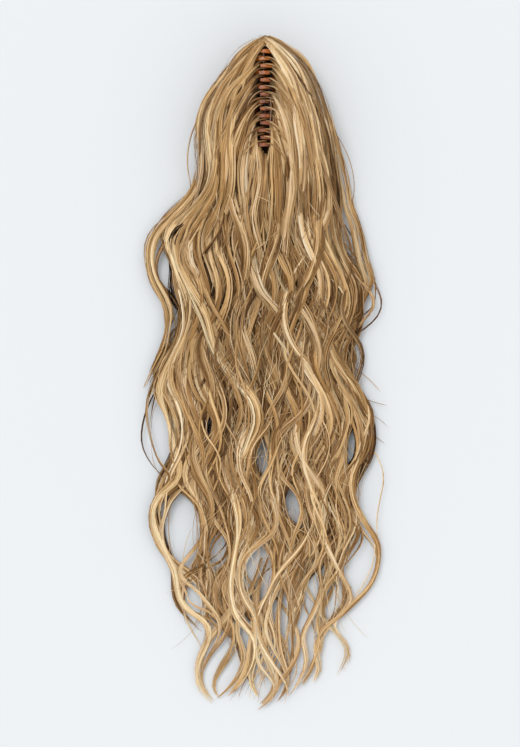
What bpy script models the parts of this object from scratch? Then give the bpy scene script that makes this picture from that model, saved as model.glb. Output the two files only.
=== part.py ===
"""Claw-clip ponytail hairpiece, lying on a table with the teeth of its claw up.

A sprung claw of two combed jaws grips the wearer's own hair. Wefts of wavy hair are sewn to the
outside of both jaws, meet in a parting over the claw's far end and run down as one long tail.
Metres, +Z up from the table, +Y towards the crown. X is 0 on the parting. Each jaw turns about the
hinge pin, which lies along Y. Hair within CROWN_RADIUS of the pin moves with its jaw, and the rest
stays on the table.
"""

import math

import bmesh
import bpy
from mathutils import Matrix, Vector

# Hair as a whole
HAIR_LENGTH = 0.580
HAIR_HALF_WIDTH = 0.100
SHOULDER_HALF_WIDTH = 0.062
HAIR_COVER = 0.0048
SEAM_GAP = 0.0004

# Claw, as a closed tube of two jaws
CLAW_LENGTH = 0.088
CLAW_HALF_WIDTH = 0.0155
CLAW_HALF_HEIGHT = 0.015
CLAW_END_COVER = 0.012
JAW_WALL = 0.0022
JAW_EDGE_BEVEL = 0.0005

# Teeth, by turn: the right jaw's first tooth is nearest the crown
TEETH_PER_JAW = 7
TOOTH_PITCH = 0.0122
TOOTH_ROOT_WIDTH = 0.0046
TOOTH_TIP_WIDTH = 0.0030
FIRST_TOOTH_INSET = 0.0035

# Hinge and finger levers
HINGE_HEIGHT = 0.021
PIN_RADIUS = 0.0012
PIN_CLEARANCE = 0.0003
PIN_HEAD_LENGTH = 0.0010
PIN_HEAD_RADIUS = 0.0021
BARREL_WALL = 0.0017
LUG_LENGTH = 0.0035
LUG_GAP = 0.0005
SPRING_LENGTH = 0.0130
SPRING_WIRE_RADIUS = 0.0005
SPRING_TURNS = 5
WEB_INSET = 0.0004
LEVER_WALL = 0.0028
LEVER_WIDTH = 0.028
LEVER_REACH = 0.0215
LEVER_SPLAY = math.radians(44)
OPENING_ANGLE = math.radians(24)

# Waves and locks of the hair
WAVE_LENGTH_TOP = 0.124
WAVE_LENGTH_TIP = 0.102
WAVE_SWING = 0.0145
LOCK_WIDTH = 0.019
LOCK_THICKNESS = 0.0085
PARTING_HALF_WIDTH = 0.0090

# Angles on the jaw's ellipse, from its side (0) to its top (90 degrees)
WALL_FROM, WALL_TO = math.radians(-62), math.radians(38)
TOOTH_TO = math.radians(106)
LEVER_LAP = math.radians(9)

# Worked out from the sizes above
APEX_Y = HAIR_LENGTH / 2
CLAW_TOP_Y = APEX_Y - CLAW_END_COVER
CLAW_BOTTOM_Y = CLAW_TOP_Y - CLAW_LENGTH
CLAW_MIDDLE_Y = (CLAW_TOP_Y + CLAW_BOTTOM_Y) / 2
TAIL_TOP_Y = CLAW_BOTTOM_Y - SEAM_GAP
CROWN_LENGTH = APEX_Y - TAIL_TOP_Y
TAIL_LENGTH = HAIR_LENGTH - CROWN_LENGTH
CLAW_MIDDLE_Z = HINGE_HEIGHT + CLAW_HALF_HEIGHT
CROWN_RADIUS = 2 * CLAW_HALF_HEIGHT + JAW_WALL / 2 + HAIR_COVER
CROWN_HEIGHT = HINGE_HEIGHT + CROWN_RADIUS
CROWN_FLOOR = HINGE_HEIGHT - 2 * SEAM_GAP
CROWN_EDGE_ANGLE = LEVER_SPLAY + math.radians(12)
BORE_RADIUS = PIN_RADIUS + PIN_CLEARANCE
BARREL_RADIUS = BORE_RADIUS + BARREL_WALL
SPRING_RADIUS = BORE_RADIUS + SPRING_WIRE_RADIUS
INNER_LUG_START = SPRING_LENGTH / 2 + LUG_GAP
OUTER_LUG_START = INNER_LUG_START + LUG_LENGTH + LUG_GAP
LUGS_REACH = OUTER_LUG_START + LUG_LENGTH
LEVER_ROOM_RADIUS = 0.7 * LEVER_REACH
HINGE_ROOM_RADIUS = 2.5 * BARREL_RADIUS
HINGE = Vector((0, CLAW_MIDDLE_Y, HINGE_HEIGHT))

# Hair sections over the claw. along is a share of CROWN_LENGTH from the apex, half_width of
# SHOULDER_HALF_WIDTH, top and bottom of CROWN_HEIGHT, and roof is the exponent of the dome.
CROWN_SECTIONS = (
    # along, half_width, top, bottom, roof
    (0.00, 0.04, 0.63, 0.52, 2.4),
    (0.04, 0.26, 0.81, 0.31, 2.4),
    (0.10, 0.39, 0.93, 0.15, 2.4),
    (0.20, 0.53, 0.99, 0.05, 2.4),
    (0.32, 0.65, 0.99, 0.00, 2.3),
    (0.55, 0.82, 0.98, 0.00, 2.0),
    (0.80, 0.94, 0.96, 0.00, 1.8),
)

# Hair sections of the tail. along is a share of TAIL_LENGTH, half_width of HAIR_HALF_WIDTH, and
# top of CROWN_HEIGHT. The underside lies on the table.
TAIL_SECTIONS = (
    # along, half_width, top, roof
    (0.00, 0.62, 0.92, 1.6),
    (0.08, 0.62, 0.76, 1.8),
    (0.19, 0.64, 0.59, 2.0),
    (0.31, 0.64, 0.49, 2.2),
    (0.46, 0.60, 0.40, 2.2),
    (0.58, 0.51, 0.32, 2.2),
    (0.68, 0.38, 0.24, 2.2),
    (0.78, 0.22, 0.17, 2.2),
    (0.86, 0.08, 0.11, 2.2),
)

# Where the locks spread to. along is a share of TAIL_LENGTH. reach, how far out the outermost
# lock runs, and middle, how far right the whole has drifted, are shares of HAIR_HALF_WIDTH.
SPREAD = (
    # along, reach, middle
    (0.00, 0.58, 0.00),
    (0.10, 0.66, 0.00),
    (0.20, 0.74, 0.00),
    (0.45, 0.75, 0.00),
    (0.62, 0.74, 0.00),
    (0.72, 0.69, 0.02),
    (0.82, 0.60, 0.06),
    (0.92, 0.46, 0.02),
    (1.00, 0.38, -0.16),
)

# Locks. root is a share of CROWN_LENGTH from the apex, side a share of SPREAD with minus to the
# left, phase in turns of the wave, tip a share of TAIL_LENGTH, size a share of the lock's section.
LOCKS = (
    # root, side, phase, tip, size
    (0.10, -1.00, 0.10, 0.78, 0.90),
    (0.28, -0.80, 0.16, 0.97, 1.05),
    (0.46, -0.58, 0.30, 0.88, 1.05),
    (0.64, -0.38, 0.42, 0.94, 1.00),
    (0.82, -0.18, 0.52, 0.99, 0.95),
    (0.10, 1.00, 0.21, 0.86, 0.90),
    (0.28, 0.80, 0.27, 0.80, 1.05),
    (0.46, 0.58, 0.34, 0.92, 1.05),
    (0.64, 0.38, 0.42, 0.96, 1.00),
    (0.82, 0.18, 0.48, 1.00, 0.95),
    (1.60, -0.96, 0.82, 0.74, 0.80),
    (1.90, -0.48, 0.88, 0.96, 0.90),
    (1.60, 0.90, 0.93, 0.84, 0.80),
)

# Section of the hair: shares of the half width at which its roof has a point, right to left,
# and those of the flat underside.
ROOF_SHARES = (1.0, 0.86, 0.6, 0.22)
UNDERSIDE_SHARES = (-0.85, 0.85)
EDGE_SHARE = 0.10

# Section of a lock, as shares of its half width and half thickness
LOCK_SECTION = ((-1.0, -0.8), (1.0, -0.8), (0.45, 1.0), (-0.45, 1.0))
LOCK_STEPS = 22
LOCK_RISE = 0.15

# Facets round each kind of curve
ROUND_SIDES = 12
ROOM_SIDES = 20
SWEEP_SIDES = 32
WALL_STEPS = 6
TOOTH_STEPS = 4
LEVER_STEPS = 6
CROWN_STEPS = 12
SHARP_ANGLE = math.radians(38)
OVERCUT = 0.004

AMBER = ("amber_plastic", (0.38, 0.11, 0.02, 1), 0.22, 0.0)
STEEL = ("spring_steel", (0.62, 0.62, 0.63, 1), 0.30, 1.0)
BLONDE = ("blonde_hair", (0.52, 0.34, 0.17, 1), 0.55, 0.0)


def clear_scene():
    for obj in list(bpy.data.objects):
        bpy.data.objects.remove(obj)


def new_collection(name):
    made = bpy.data.collections.new(name)
    bpy.context.scene.collection.children.link(made)
    return made


def material(name, colour, roughness, metallic):
    made = bpy.data.materials.get(name)
    if made is None:
        made = bpy.data.materials.new(name)
        made.use_nodes = True
        shader = made.node_tree.nodes["Principled BSDF"]
        shader.inputs["Base Color"].default_value = colour
        shader.inputs["Roughness"].default_value = roughness
        shader.inputs["Metallic"].default_value = metallic
    return made


def smooth(share):
    """Eases from 0 to 1 with level ends."""
    share = min(max(share, 0.0), 1.0)
    return share * share * (3 - 2 * share)


def read_table(table, along):
    """The row of values at a place along a table, worked out between its rows."""
    if along <= table[0][0]:
        return table[0][1:]
    for before, after in zip(table, table[1:]):
        if along <= after[0]:
            share = (along - before[0]) / (after[0] - before[0])
            return tuple(a + (b - a) * share for a, b in zip(before[1:], after[1:]))
    return table[-1][1:]


# Shapes in general


def link_shape(name, shape, collection):
    """Makes an object of a bmesh, which is freed."""
    mesh = bpy.data.meshes.new(name)
    shape.to_mesh(mesh)
    shape.free()
    obj = bpy.data.objects.new(name, mesh)
    collection.objects.link(obj)
    return obj


def baked(obj, name, collection):
    """A plain mesh of an object as its modifiers leave it. The object is removed."""
    bpy.context.view_layer.update()
    graph = bpy.context.evaluated_depsgraph_get()
    mesh = bpy.data.meshes.new_from_object(obj.evaluated_get(graph))
    made = bpy.data.objects.new(name, mesh)
    collection.objects.link(made)
    made.matrix_world = obj.matrix_world
    bpy.data.objects.remove(obj)
    return made


def rod_along_y(name, radius, centre, length, collection, sides=ROUND_SIDES, stretch=1.0):
    """A cylinder along Y, stretch times as high as it is wide."""
    shape = bmesh.new()
    bmesh.ops.create_cone(
        shape, cap_ends=True, segments=sides, radius1=radius, radius2=radius, depth=length
    )
    half_facet = Matrix.Rotation(math.pi / sides, 4, "Z")
    lay_down = Matrix.Rotation(math.pi / 2, 4, "X")
    place = Matrix.Translation(centre) @ Matrix.Diagonal((1, 1, stretch, 1)) @ lay_down @ half_facet
    bmesh.ops.transform(shape, matrix=place, verts=shape.verts)
    return link_shape(name, shape, collection)


def plate(name, outline, y_from, y_to, collection):
    """An XZ outline, filled and carried along Y."""
    curve = bpy.data.curves.new(name, "CURVE")
    curve.dimensions = "2D"
    curve.fill_mode = "BOTH"
    curve.extrude = (y_to - y_from) / 2
    line = curve.splines.new("POLY")
    line.points.add(len(outline) - 1)
    for point, (x, z) in zip(line.points, outline):
        point.co = (x, z, 0, 1)
    line.use_cyclic_u = True
    drawn = bpy.data.objects.new(name, curve)
    collection.objects.link(drawn)
    drawn.matrix_world = Matrix.Translation((0, (y_from + y_to) / 2, 0)) @ Matrix.Rotation(math.pi / 2, 4, "X")
    made = baked(drawn, name, collection)
    made.data.transform(made.matrix_world)
    made.matrix_world = Matrix.Identity(4)
    shape = bmesh.new()
    shape.from_mesh(made.data)
    bmesh.ops.remove_doubles(shape, verts=shape.verts, dist=1e-6)
    bmesh.ops.recalc_face_normals(shape, faces=shape.faces)
    shape.to_mesh(made.data)
    shape.free()
    return made


def shell(name, rows, cells, thickness, collection):
    """A thick sheet with bevelled edges. rows holds rows of points of its middle surface, and
    cells the row and column of each quad that is filled."""
    shape = bmesh.new()
    verts = {}
    for row, column in cells:
        corners = []
        for place in ((row, column), (row, column + 1), (row + 1, column + 1), (row + 1, column)):
            if place not in verts:
                verts[place] = shape.verts.new(rows[place[0]][place[1]])
            corners.append(verts[place])
        shape.faces.new(corners)
    bmesh.ops.recalc_face_normals(shape, faces=shape.faces)
    obj = link_shape(name, shape, collection)
    thicken = obj.modifiers.new("wall", "SOLIDIFY")
    thicken.thickness = thickness
    thicken.offset = 0
    thicken.use_even_offset = True
    ease = obj.modifiers.new("edges", "BEVEL")
    ease.width = JAW_EDGE_BEVEL
    ease.segments = 1
    ease.limit_method = "ANGLE"
    ease.angle_limit = SHARP_ANGLE
    return obj


def loft(name, rings, collection):
    """A closed loft through rings of equally many points, with both ends capped."""
    shape = bmesh.new()
    loops = [[shape.verts.new(point) for point in ring] for ring in rings]
    for before, after in zip(loops, loops[1:]):
        for i in range(len(before)):
            j = (i + 1) % len(before)
            shape.faces.new((before[i], before[j], after[j], after[i]))
    shape.faces.new(loops[0][::-1])
    shape.faces.new(loops[-1])
    bmesh.ops.recalc_face_normals(shape, faces=shape.faces)
    bmesh.ops.triangulate(shape, faces=[face for face in shape.faces if len(face.verts) == 4])
    return link_shape(name, shape, collection)


def combine(obj, others, operation, helpers):
    """Adds a Boolean of obj with each of the others, which are kept as hidden helpers."""
    for other in others:
        step = obj.modifiers.new(f"{operation.lower()} {other.name}", "BOOLEAN")
        step.operation = operation
        step.solver = "EXACT"
        step.object = other
        other.display_type = "WIRE"
        other.hide_render = True
        if other.name not in helpers.objects:
            helpers.objects.link(other)


def connected_groups(shape):
    """The vertices of each body in a bmesh."""
    left = set(shape.verts)
    groups = []
    while left:
        stack = [left.pop()]
        group = []
        while stack:
            vert = stack.pop()
            group.append(vert)
            near = {edge.other_vert(vert) for edge in vert.link_edges} & left
            left -= near
            stack.extend(near)
        groups.append(group)
    return sorted(groups, key=len)


def clear_crumbs(obj):
    """Leaves an object's largest body, without the crumbs a cut loosens from a lock's edge."""
    shape = bmesh.new()
    shape.from_mesh(obj.data)
    for group in connected_groups(shape)[:-1]:
        bmesh.ops.delete(shape, geom=group, context="VERTS")
    bmesh.ops.triangulate(shape, faces=shape.faces)
    shape.to_mesh(obj.data)
    shape.free()
    return obj


def finish(obj, name, look, collection, origin=None):
    """Bakes a shape into its named node, with its material and its origin."""
    made = clear_crumbs(baked(obj, name, collection))
    made.data.name = name
    made.data.materials.clear()
    made.data.materials.append(material(*look))
    made.data.shade_smooth()
    made.data.set_sharp_from_angle(angle=SHARP_ANGLE)
    if origin is not None:
        made.data.transform(Matrix.Translation(-origin))
        made.location = origin
    return made


# The claw


def ellipse_point(angle, side):
    """A point on the middle of a jaw's wall, in XZ."""
    x = side * CLAW_HALF_WIDTH * math.cos(angle)
    return x, CLAW_MIDDLE_Z + CLAW_HALF_HEIGHT * math.sin(angle)


def build_comb(side, first_tooth_y, helpers):
    """The jaw's curved wall with its teeth, which narrow to their tips past the claw's middle."""
    middles = [first_tooth_y - i * TOOTH_PITCH for i in range(TEETH_PER_JAW)]
    stations = [CLAW_TOP_Y]
    for middle in middles:
        stations += [middle + TOOTH_ROOT_WIDTH / 2, middle - TOOTH_ROOT_WIDTH / 2]
    stations.append(CLAW_BOTTOM_Y)
    rows = []
    for i in range(WALL_STEPS + 1):
        x, z = ellipse_point(WALL_FROM + (WALL_TO - WALL_FROM) * i / WALL_STEPS, side)
        rows.append([Vector((x, y, z)) for y in stations])
    for i in range(1, TOOTH_STEPS + 1):
        share = i / TOOTH_STEPS
        x, z = ellipse_point(WALL_TO + (TOOTH_TO - WALL_TO) * share, side)
        half = (TOOTH_ROOT_WIDTH + (TOOTH_TIP_WIDTH - TOOTH_ROOT_WIDTH) * share) / 2
        row = [Vector((x, CLAW_TOP_Y, z))]
        for middle in middles:
            row += [Vector((x, middle + half, z)), Vector((x, middle - half, z))]
        rows.append(row)
    wall = [(row, column) for row in range(WALL_STEPS) for column in range(len(stations) - 1)]
    teeth = [
        (WALL_STEPS + row, 1 + 2 * tooth) for row in range(TOOTH_STEPS) for tooth in range(TEETH_PER_JAW)
    ]
    return shell("comb", rows, wall + teeth, JAW_WALL, helpers)


def build_lever(side, helpers):
    """The finger lever, which laps the wall's foot and runs down and out to its rounded tip."""
    foot = ellipse_point(WALL_FROM, side)
    lap = ellipse_point(WALL_FROM + LEVER_LAP, side)
    tip = (
        side * LEVER_REACH * math.sin(LEVER_SPLAY),
        HINGE_HEIGHT - LEVER_REACH * math.cos(LEVER_SPLAY),
    )
    knee = (foot[0], (foot[1] + 2 * tip[1]) / 3)
    half = LEVER_WIDTH / 2
    rows = [[Vector((lap[0], CLAW_MIDDLE_Y + y, lap[1])) for y in (half, -half)]]
    for i in range(LEVER_STEPS + 1):
        t = i / LEVER_STEPS
        weights = ((1 - t) ** 2, 2 * t * (1 - t), t * t)
        x, z = (sum(w * p[k] for w, p in zip(weights, (foot, knee, tip))) for k in (0, 1))
        half = LEVER_WIDTH / 2 * math.sqrt(1 - 0.7 * max(2 * t - 1, 0) ** 3)
        rows.append([Vector((x, CLAW_MIDDLE_Y + half, z)), Vector((x, CLAW_MIDDLE_Y - half, z))])
    return shell("lever", rows, [(row, 0) for row in range(LEVER_STEPS + 1)], LEVER_WALL, helpers)


def build_lugs(side, start, helpers):
    """A pair of lugs with round eyes, which carry the jaw on the pin."""
    foot = ellipse_point(WALL_FROM, side)
    half = 0.8 * BARREL_RADIUS
    web = [
        (0, HINGE_HEIGHT - half), (foot[0], foot[1] - half),
        (foot[0], foot[1] + half / 2), (0, HINGE_HEIGHT + half),
    ]
    made = []
    for end in (-1, 1):
        middle = CLAW_MIDDLE_Y + end * (start + LUG_LENGTH / 2)
        half_web = LUG_LENGTH / 2 - WEB_INSET
        made.append(plate("lug_web", web, middle - half_web, middle + half_web, helpers))
        centre = Vector((0, middle, HINGE_HEIGHT))
        made.append(rod_along_y("lug_eye", BARREL_RADIUS, centre, LUG_LENGTH, helpers))
    return made


def build_jaw(name, side, first_tooth_y, lug_start, parts, helpers):
    """One jaw of the claw, moulded in one piece."""
    jaw = build_comb(side, first_tooth_y, helpers)
    combine(jaw, [build_lever(side, helpers), *build_lugs(side, lug_start, helpers)], "UNION", helpers)
    bore = rod_along_y("bore", BORE_RADIUS, HINGE, 2 * (LUGS_REACH + OVERCUT), helpers)
    combine(jaw, [bore], "DIFFERENCE", helpers)
    return finish(jaw, name, AMBER, parts, HINGE)


def build_pin(parts, helpers):
    """The hinge pin, a plain rod with a small head at each end."""
    reach = LUGS_REACH + LUG_GAP
    rod = rod_along_y("rod", PIN_RADIUS, HINGE, 2 * reach + PIN_HEAD_LENGTH, helpers)
    heads = []
    for end in (-1, 1):
        centre = HINGE + Vector((0, end * (reach + PIN_HEAD_LENGTH / 2), 0))
        heads.append(rod_along_y("head", PIN_HEAD_RADIUS, centre, PIN_HEAD_LENGTH, helpers))
    combine(rod, heads, "UNION", helpers)
    return finish(rod, "hinge_pin", STEEL, parts)


def build_spring(parts):
    """The closing spring's coil, wound round the pin between the inner lugs."""
    steps_per_turn = 8
    steps = SPRING_TURNS * steps_per_turn
    length = SPRING_LENGTH - 2 * SPRING_WIRE_RADIUS - LUG_GAP
    radius = SPRING_RADIUS / math.cos(math.pi / steps_per_turn)
    curve = bpy.data.curves.new("hinge_spring", "CURVE")
    curve.dimensions = "3D"
    curve.bevel_depth = SPRING_WIRE_RADIUS
    curve.bevel_resolution = 1
    curve.use_fill_caps = True
    line = curve.splines.new("POLY")
    line.points.add(steps)
    for i in range(steps + 1):
        turn = 2 * math.pi * i / steps_per_turn
        y = length * (i / steps - 0.5)
        line.points[i].co = (radius * math.cos(turn), y, radius * math.sin(turn), 1)
    curve.materials.append(material(*STEEL))
    obj = bpy.data.objects.new("hinge_spring", curve)
    obj.location = HINGE
    parts.objects.link(obj)
    return obj


# The hair


def tail_share(y):
    return (TAIL_TOP_Y - y) / TAIL_LENGTH


def hair_section(y):
    """Half width, top, bottom and roof exponent of the hair at y."""
    if y >= TAIL_TOP_Y:
        _, width, top, roof = TAIL_SECTIONS[0]
        joining = (1.0, width * HAIR_HALF_WIDTH / SHOULDER_HALF_WIDTH, top, 0.0, roof)
        width, top, bottom, roof = read_table((*CROWN_SECTIONS, joining), (APEX_Y - y) / CROWN_LENGTH)
        return width * SHOULDER_HALF_WIDTH, top * CROWN_HEIGHT, bottom * CROWN_HEIGHT, roof
    width, top, roof = read_table(TAIL_SECTIONS, tail_share(y))
    return width * HAIR_HALF_WIDTH, top * CROWN_HEIGHT, 0.0, roof


def roof_height(x, y):
    """Height of the hair's roof over a point of the table, level past the hair's edge."""
    half_width, top, bottom, roof = hair_section(y)
    share = min(abs(x) / half_width, 1.0)
    edge = bottom + EDGE_SHARE * (top - bottom)
    return edge + (top - edge) * (1 - share**roof)


def hair_ring(y):
    """The outline of the hair's body at y, once round."""
    half_width, _, bottom, _ = hair_section(y)
    shares = ROOF_SHARES + tuple(-share for share in reversed(ROOF_SHARES))
    ring = [Vector((share * half_width, y, roof_height(share * half_width, y))) for share in shares]
    return ring + [Vector((share * half_width, y, bottom)) for share in UNDERSIDE_SHARES]


def build_hair_body(helpers):
    """The hair without its locks, from the apex to where only locks are left."""
    crown = [APEX_Y - row[0] * CROWN_LENGTH for row in CROWN_SECTIONS]
    tail = [TAIL_TOP_Y - row[0] * TAIL_LENGTH for row in TAIL_SECTIONS]
    return loft("hair_body", [hair_ring(y) for y in crown + tail], helpers)


def wave_turns(along):
    """Turns of the wave from the tail's top to a place along it, as its waves change length."""
    change = WAVE_LENGTH_TIP / WAVE_LENGTH_TOP - 1
    if abs(change) < 1e-6:
        return along * TAIL_LENGTH / WAVE_LENGTH_TOP
    return TAIL_LENGTH / (WAVE_LENGTH_TOP * change) * math.log(1 + change * along)


def lock_middle(root, side, phase, y):
    """X of a lock's middle line at y. It leaves the parting in an arch, then swings in waves."""
    root_y = APEX_Y - root * CROWN_LENGTH
    along = tail_share(y)
    reach, middle = read_table(SPREAD, along)
    sweep = min((root_y - y) / (1.1 * CROWN_LENGTH), 1.0)
    arch = (1 - (1 - sweep) ** 2) ** 0.62
    start = math.copysign(PARTING_HALF_WIDTH, side)
    x = start + ((side * reach + middle) * HAIR_HALF_WIDTH - start) * arch
    swing = WAVE_SWING * smooth(along / 0.2)
    return x + swing * math.sin(2 * math.pi * (wave_turns(max(along, 0)) + phase))


def lock_taper(share):
    """A lock's size along it: half at the root, full along the tail and narrow at the tip."""
    return (0.5 + 0.5 * smooth(4 * share)) * (1 - 0.75 * smooth((share - 0.72) / 0.28))


def build_lock(root, side, phase, tip, size, collection):
    """One lock: a flat strip that rides on the hair's roof and ends in a point."""
    root_y = APEX_Y - root * CROWN_LENGTH
    tip_y = TAIL_TOP_Y - tip * TAIL_LENGTH
    middles, sizes = [], []
    for i in range(LOCK_STEPS + 1):
        share = (i / LOCK_STEPS) ** 0.92
        y = root_y + (tip_y - root_y) * share
        x = lock_middle(root, side, phase, y)
        half_width = LOCK_WIDTH / 2 * size * lock_taper(share)
        half_thickness = LOCK_THICKNESS / 2 * size * lock_taper(share)
        lowest = half_thickness + SEAM_GAP
        middles.append(Vector((x, y, max(roof_height(x, y) + LOCK_RISE * LOCK_THICKNESS, lowest))))
        sizes.append((half_width, half_thickness))
    rings = []
    for i, middle in enumerate(middles):
        half_width, half_thickness = sizes[i]
        along = (middles[min(i + 1, LOCK_STEPS)] - middles[max(i - 1, 0)]).normalized()
        lean = roof_height(middle.x + half_width, middle.y) - roof_height(middle.x - half_width, middle.y)
        across = Vector((2 * half_width, 0, lean))
        across = (across - along * across.dot(along)).normalized()
        up = along.cross(across).normalized()
        ring = []
        for sideways, upward in LOCK_SECTION:
            point = middle + across * sideways * half_width + up * upward * half_thickness
            ring.append(Vector((point.x, point.y, max(point.z, 0.0))))
        rings.append(ring)
    return loft("lock", rings, collection)


def build_hair(helpers):
    """All the hair as one closed mesh, before the claw's room is cut out."""
    locks = new_collection("locks")
    for row in LOCKS:
        build_lock(*row, locks).hide_render = True
    body = build_hair_body(helpers)
    step = body.modifiers.new("union locks", "BOOLEAN")
    step.operation = "UNION"
    step.solver = "EXACT"
    step.operand_type = "COLLECTION"
    step.collection = locks
    hair = clear_crumbs(baked(body, "hair", helpers))
    hair.hide_render = True
    hair.display_type = "WIRE"
    return hair


def hair_copy(hair, helpers):
    made = hair.copy()
    made.data = hair.data.copy()
    helpers.objects.link(made)
    return made


def claw_rooms(helpers):
    """Cutters that keep the crown's hair clear of the jaws, the teeth, the hinge and the levers."""
    y_from, y_to = TAIL_TOP_Y - OVERCUT, CLAW_TOP_Y + SEAM_GAP
    length = y_to - y_from
    middle_y = (y_from + y_to) / 2
    wide = CLAW_HALF_WIDTH + JAW_WALL / 2 + SEAM_GAP
    high = CLAW_HALF_HEIGHT + JAW_WALL / 2 + SEAM_GAP
    jaws_centre = Vector((0, middle_y, CLAW_MIDDLE_Z))
    jaws = rod_along_y("jaws_room", wide / math.cos(math.pi / ROOM_SIDES), jaws_centre, length, helpers,
                       ROOM_SIDES, high / wide)
    above = CROWN_HEIGHT + LOCK_THICKNESS + OVERCUT
    slot = [
        (-PARTING_HALF_WIDTH, CLAW_MIDDLE_Z), (PARTING_HALF_WIDTH, CLAW_MIDDLE_Z),
        (PARTING_HALF_WIDTH, above), (-PARTING_HALF_WIDTH, above),
    ]
    teeth = plate("teeth_room", slot, y_from, y_to, helpers)
    hinge_centre = Vector((0, middle_y, HINGE_HEIGHT))
    hinge = rod_along_y("hinge_room", HINGE_ROOM_RADIUS, hinge_centre, length, helpers)
    reach = max(LEVER_WIDTH / 2, LUGS_REACH + LUG_GAP + PIN_HEAD_LENGTH) + 2 * SEAM_GAP
    levers = rod_along_y("levers_room", LEVER_ROOM_RADIUS, HINGE, 2 * reach, helpers, ROOM_SIDES)
    return [jaws, teeth, hinge, levers]


def crown_outline(side):
    """XZ outline of the hair that moves with a jaw: it stays off the table when the jaw opens."""
    outline = [(side * SEAM_GAP / 2, HINGE_HEIGHT)]
    for i in range(CROWN_STEPS + 1):
        turn = CROWN_EDGE_ANGLE + (math.pi - CROWN_EDGE_ANGLE) * i / CROWN_STEPS
        fall = math.cos(turn - OPENING_ANGLE)
        radius = min(CROWN_RADIUS, CROWN_FLOOR / fall) if fall > 0 else CROWN_RADIUS
        x = max(radius * math.sin(turn), SEAM_GAP / 2)
        outline.append((side * x, HINGE_HEIGHT - radius * math.cos(turn)))
    return outline


def build_crown(name, side, hair, parts, helpers):
    """One side's hair over the claw, sewn to its jaw."""
    keeper = plate("keeper", crown_outline(side), CLAW_BOTTOM_Y, APEX_Y + OVERCUT, helpers)
    crown = hair_copy(hair, helpers)
    combine(crown, [keeper], "INTERSECT", helpers)
    combine(crown, claw_rooms(helpers), "DIFFERENCE", helpers)
    return finish(crown, name, BLONDE, parts, HINGE)


def build_tail(hair, parts, helpers):
    """All the hair that stays on the table, shaped round the crown so that its sides can turn."""
    length = APEX_Y + OVERCUT - TAIL_TOP_Y
    centre = Vector((0, TAIL_TOP_Y + length / 2, HINGE_HEIGHT))
    radius = (CROWN_RADIUS + SEAM_GAP) / math.cos(math.pi / SWEEP_SIDES)
    sweep = rod_along_y("crown_room", radius, centre, length, helpers, SWEEP_SIDES)
    tail = hair_copy(hair, helpers)
    combine(tail, [sweep], "DIFFERENCE", helpers)
    return finish(tail, "tail", BLONDE, parts)


def main():
    clear_scene()
    parts = new_collection("ponytail_hairpiece")
    helpers = new_collection("helpers")
    first_right = CLAW_TOP_Y - FIRST_TOOTH_INSET
    first_left = first_right - TOOTH_PITCH / 2
    build_jaw("jaw_right", 1, first_right, OUTER_LUG_START, parts, helpers)
    build_jaw("jaw_left", -1, first_left, INNER_LUG_START, parts, helpers)
    build_pin(parts, helpers)
    build_spring(parts)
    hair = build_hair(helpers)
    build_crown("crown_left", -1, hair, parts, helpers)
    build_crown("crown_right", 1, hair, parts, helpers)
    build_tail(hair, parts, helpers)


main()
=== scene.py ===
import math

import bmesh
import bpy
import numpy as np
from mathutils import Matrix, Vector


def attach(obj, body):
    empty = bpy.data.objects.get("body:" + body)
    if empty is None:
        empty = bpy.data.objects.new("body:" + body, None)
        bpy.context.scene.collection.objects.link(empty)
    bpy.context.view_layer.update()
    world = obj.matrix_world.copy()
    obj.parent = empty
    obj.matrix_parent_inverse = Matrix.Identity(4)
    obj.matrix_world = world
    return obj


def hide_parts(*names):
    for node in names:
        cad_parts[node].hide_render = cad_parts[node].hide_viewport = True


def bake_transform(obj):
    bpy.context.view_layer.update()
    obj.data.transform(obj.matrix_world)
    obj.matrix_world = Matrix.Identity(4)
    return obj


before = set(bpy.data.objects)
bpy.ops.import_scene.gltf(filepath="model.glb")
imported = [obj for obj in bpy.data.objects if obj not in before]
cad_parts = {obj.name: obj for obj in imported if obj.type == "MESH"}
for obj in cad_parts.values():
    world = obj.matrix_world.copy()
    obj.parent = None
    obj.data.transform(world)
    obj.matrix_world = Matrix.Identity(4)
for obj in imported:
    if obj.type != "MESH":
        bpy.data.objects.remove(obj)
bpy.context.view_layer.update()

# Where a place in the 520 x 747 photograph lies on the part, in metres
PIXEL = 0.8593e-3
MIDDLE_COLUMN = 265
APEX_ROW = 37
APEX_Y = 0.290
CLAW_END_Y = 0.190
HAIR_LENGTH = 0.580
TAIL_LENGTH = 0.4796
RIM_Y = 0.289

# Half the tail's width where it leaves the claw, and how far from the middle a crossing hair may lie
TAIL_START_HALF = 0.058
CROSSING_REACH = 0.098

# The lowest that the middle of a lock and a ribbon's edge lie above the table
LOCK_FLOOR = 0.0022
RIBBON_FLOOR = 0.0005

# Length of the first and of the last wave in the tail, in metres
FIRST_WAVE = 0.124
LAST_WAVE = 0.102

# How far the strands' steps are apart along a lock
STEP = 0.0078

TURN = 2 * math.pi

# Painted highlight: how much lighter a strand is painted where it runs to the right than where it runs down
SHINE = 0.18

# Where the hair inside the crown ends towards the apex
CORE_FRONT_Y = 0.2835

# How far the right jaw's lining goes past the middle
LINING_LAP = 0.0010

# The claw's teeth, seen from above
TOOTH_GAPS = 13
TOOTH_PITCH_ROWS = 7.1

# How many locks and hairs there are of each kind, on each side of the claw
FILL_LOCKS = 34
APEX_LOCKS = 14
END_LOCKS = 4
RIM_LOCKS = 17

# How many there are of each kind in the tail
INNER_LOCKS = 84
LOOSE_CURLS = 30
SINGLE_HAIRS = 90
CROSSING_HAIRS = 440

# How many more strands a traced lock gets than its table says, and how much wider the last curls are
STRANDS_MORE = 1.3
CURLS_WIDER = 2.2

rng = np.random.default_rng(41)

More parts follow.
